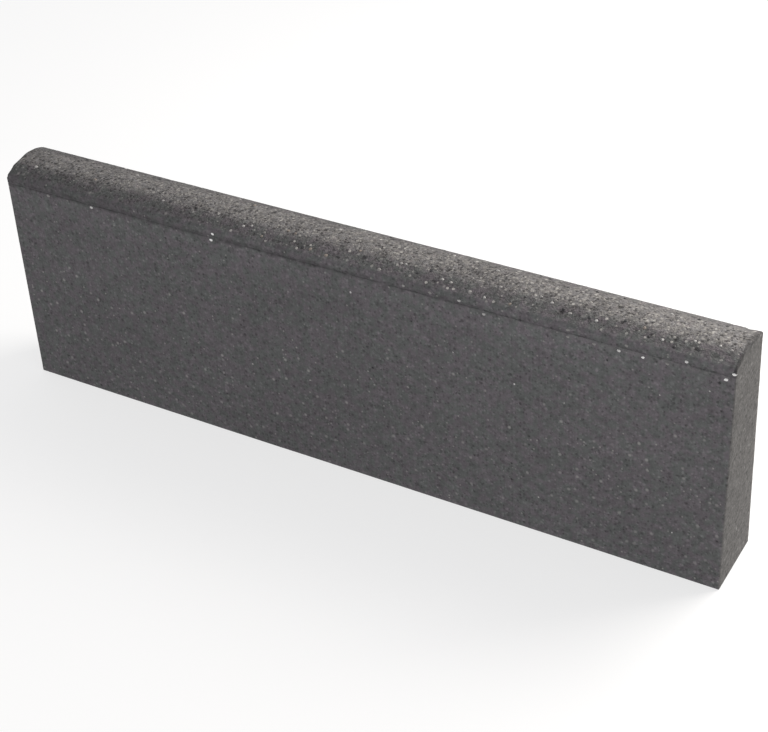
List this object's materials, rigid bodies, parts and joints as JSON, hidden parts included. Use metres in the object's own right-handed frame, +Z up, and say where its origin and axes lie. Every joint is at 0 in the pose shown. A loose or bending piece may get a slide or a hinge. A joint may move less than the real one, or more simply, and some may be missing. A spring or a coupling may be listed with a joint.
{
  "type": "concrete edging block",
  "caption": "Precast charcoal concrete edging block: a long flat slab that stands on edge, with drafted faces, plain ends and a rounded rough top.",
  "frame": {"origin": "centre of the flat foot that the block stands on", "axes": "+X along the length, +Y through the thickness from the front face to the back face, +Z up from the foot to the rounded top"},
  "size_m": [0.6, 0.057, 0.193],
  "materials": {
    "charcoal_concrete": "charcoal dry-cast concrete, fine mould finish on the faces, open and pitted on the nose",
    "quartz": "pale broken quartz with a slight glassy shine",
    "sandstone": "matt tan to pink sandstone",
    "basalt": "dark broken basalt"
  },
  "bodies": {
    "root": {"concrete_block": "charcoal_concrete", "quartz_grains": "quartz", "sandstone_grains": "sandstone", "basalt_grains": "basalt"}
  },
  "joints": []
}
